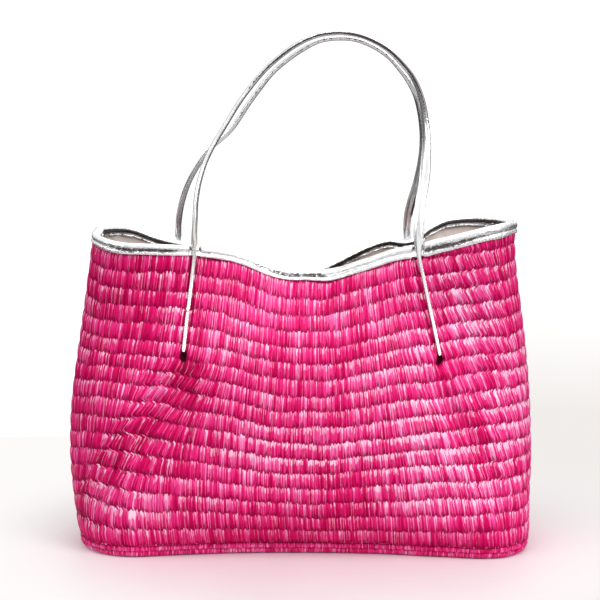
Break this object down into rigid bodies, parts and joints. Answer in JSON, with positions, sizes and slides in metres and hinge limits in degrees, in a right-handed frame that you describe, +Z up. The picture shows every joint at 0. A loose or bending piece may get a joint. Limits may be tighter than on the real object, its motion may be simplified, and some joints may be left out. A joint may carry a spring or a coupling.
{
  "type": "beach bag",
  "caption": "Straw-cloth beach tote with a metallic leather rim binding, darted sides, an open lined mouth and two standing strap handles that swing outwards from the rim.",
  "frame": {"origin": "on the floor under the middle of the bag, centred in the bounding box", "axes": "+X to the bag's left-to-right as its front is looked at, +Y from the front wall to the back wall, +Z up through the handles"},
  "size_m": [0.4758, 0.1816, 0.5269],
  "materials": {
    "straw_cloth": "paper straw, ribbed in stitched rows, satin",
    "metallic_leather": "crinkled silver foil leather, glossy",
    "lining_cloth": "plain weave cotton, matte",
    "seam_tape": "woven tape, matte",
    "fibre_board": "pressed fibre board, matte",
    "filler_cord": "twisted cotton filler, matte"
  },
  "bodies": {
    "bag": {"front_panel": "straw_cloth", "back_panel": "straw_cloth", "base_panel": "straw_cloth", "base_board": "fibre_board", "lining_front": "lining_cloth", "lining_back": "lining_cloth", "lining_base": "lining_cloth", "side_seam_tape_left": "seam_tape", "side_seam_tape_right": "seam_tape", "rim_binding_front": "metallic_leather", "rim_binding_back": "metallic_leather", "handle_tail_front_left": "metallic_leather", "handle_tail_front_right": "metallic_leather", "handle_tail_back_left": "metallic_leather", "handle_tail_back_right": "metallic_leather"},
    "front_handle": {"handle_front_cover": "metallic_leather", "handle_front_core": "filler_cord"},
    "back_handle": {"handle_back_cover": "metallic_leather", "handle_back_core": "filler_cord"}
  },
  "joints": [
    {"name": "front_handle_swing", "type": "hinge", "parent": "bag", "child": "front_handle", "pos_m": [0.00554, -0.04756, 0.31475], "axis": [1, 0.0022, 0.0067], "range_deg": [0, 150]},
    {"name": "back_handle_swing", "type": "hinge", "parent": "bag", "child": "back_handle", "pos_m": [-0.00821, 0.05544, 0.31225], "axis": [-0.9999, -0.0104, -0.0062], "range_deg": [0, 150]}
  ]
}
